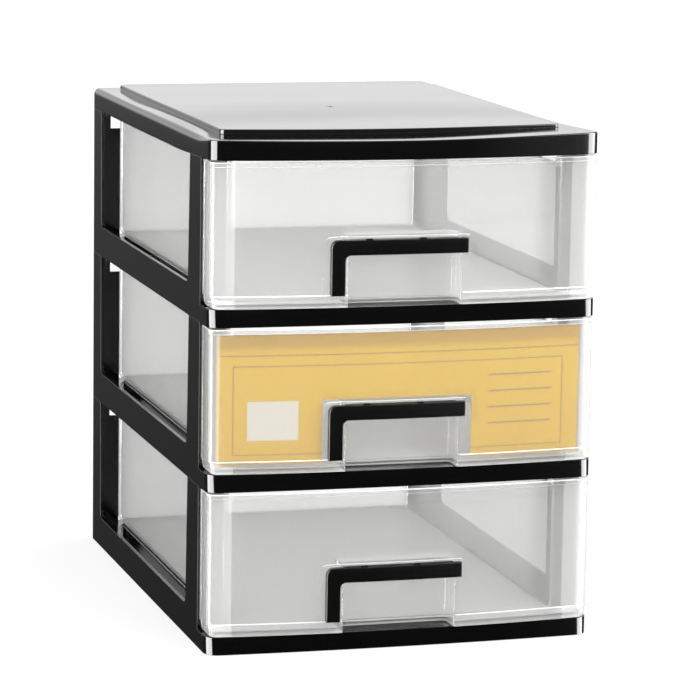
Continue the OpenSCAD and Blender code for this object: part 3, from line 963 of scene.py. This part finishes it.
def studio():
    """A white studio for the camera and for diffuse light. Gloss sees a backdrop that is bright
    above the horizon, dark below it, and two tall soft boxes."""
    w = bpy.data.worlds.new("studio")
    sc.world = w
    w.use_nodes = True
    g = G(w.node_tree)
    out = g.n('ShaderNodeOutputWorld')
    tc = g.n('ShaderNodeTexCoord')
    sx = g.n('ShaderNodeSeparateXYZ')
    g.l(tc.outputs['Generated'], sx.inputs[0])
    x, y, z = sx.outputs
    deg = 57.29578
    el = g.math('MULTIPLY', g.math('ARCSINE', z), deg)
    az = g.math('MULTIPLY', g.math('ARCTAN2', x, g.math('MULTIPLY', y, -1.0)), deg)   # 0 towards the front, 90 right
    # backdrop against elevation
    ramp = g.n('ShaderNodeValToRGB')
    g.l(g.maprange(el, -30, 60, 0, 1, 'LINEAR'), ramp.inputs[0])
    cr = ramp.color_ramp
    stops = [(-30, 0.03), (-14, 0.055), (-10.5, 0.09), (-7, 0.125), (-4.5, 0.22), (-2.5, 0.5), (-1, 0.75), (3, 1.1), (6, 1.3), (9, 1.25), (12, 1.08), (16, 0.95), (25, 0.95), (60, 1.05)]
    while len(cr.elements) > 1:
        cr.elements.remove(cr.elements[-1])
    cr.elements[0].position = 0
    cr.elements[0].color = (stops[0][1],) * 3 + (1,)
    for e, v in stops[1:]:
        k = cr.elements.new((e + 30) / 90)
        k.color = (v / 2, v / 2, v / 2, 1)
    cr.elements[0].color = (stops[0][1] / 2,) * 3 + (1,)
    back = g.math('MULTIPLY', ramp.outputs[0], 2.0)
    facing = g.maprange(y, -0.6, 0.3, 0.2, 1.0)
    back = g.math('MULTIPLY', back, facing)
    def box(a0, a1, fa, e0, e1, fe, power):
        m = g.math('MULTIPLY', g.maprange(az, a0 - fa, a0), g.maprange(az, a1, a1 + fa, 1.0, 0.0))
        q = g.math('MULTIPLY', g.maprange(el, e0 - fe, e0), g.maprange(el, e1, e1 + fe, 1.0, 0.0))
        return g.math('MULTIPLY', g.math('MULTIPLY', m, q), power)
    left = box(-108, -58, 3, -22, 45, 6, 18.0)
    right = box(46, 94, 3.5, -22, 45, 6, 16.0)
    fill = box(36, 70, 14, -30, 45, 6, 0.3)
    gloss = g.math('ADD', g.math('ADD', back, left), g.math('ADD', right, fill))
    lp = g.n('ShaderNodeLightPath')
    soft = g.maprange(y, 0.15, 0.8, 5.2, 1.15)            # dimmer straight behind
    soft = g.math('MULTIPLY', soft, g.maprange(el, 18, 55, 1.0, 0.1))   # and overhead
    val = g.math('ADD', g.math('MULTIPLY', soft, g.math('SUBTRACT', 1.0, lp.outputs['Is Glossy Ray'])), g.math('MULTIPLY', gloss, lp.outputs['Is Glossy Ray']))
    through = g.maprange(lp.outputs['Transparent Depth'], 0.5, 1.5, 1.15, 0.08, 'LINEAR')
    seen = lp.outputs['Is Camera Ray']
    cam = g.math('ADD', g.math('MULTIPLY', val, g.math('SUBTRACT', 1.0, seen)), g.math('MULTIPLY', seen, through))
    bg = g.n('ShaderNodeBackground', in_Color=(1, 1, 1, 1))
    g.l(cam, bg.inputs['Strength'])
    g.l(bg.outputs[0], out.inputs['Surface'])


studio()

m, g = material("pale_floor")
out = g.n('ShaderNodeOutputMaterial')
em = g.n('ShaderNodeEmission', in_Color=(1, 1, 1, 1), in_Strength=0.70)
df = g.n('ShaderNodeBsdfDiffuse', in_Color=(0.27, 0.27, 0.27, 1))
ad = g.n('ShaderNodeAddShader')
g.l(em.outputs[0], ad.inputs[0]); g.l(df.outputs[0], ad.inputs[1]); g.l(ad.outputs[0], out.inputs['Surface'])
fm = bpy.data.meshes.new("floor")
fm.from_pydata([(-14, -14, 0), (14, -14, 0), (14, 14, 0), (-14, 14, 0)], [], [(0, 1, 2, 3)])
floor = bpy.data.objects.new("floor", fm)
sc.collection.objects.link(floor)
fm.materials.append(m)
floor.location.z = -0.0002
floor.visible_glossy = False

sc.view_settings.view_transform = 'Standard'
sc.view_settings.look = 'None'
sc.view_settings.exposure = 0
sc.view_settings.gamma = 1
sc.cycles.use_denoising = True
sc.cycles.max_bounces = 14
sc.cycles.diffuse_bounces = 8
sc.cycles.glossy_bounces = 5
sc.cycles.transmission_bounces = 8
sc.cycles.transparent_max_bounces = 40
sc.cycles.caustics_reflective = False
sc.cycles.caustics_refractive = False
sc.cycles.sample_clamp_indirect = 4
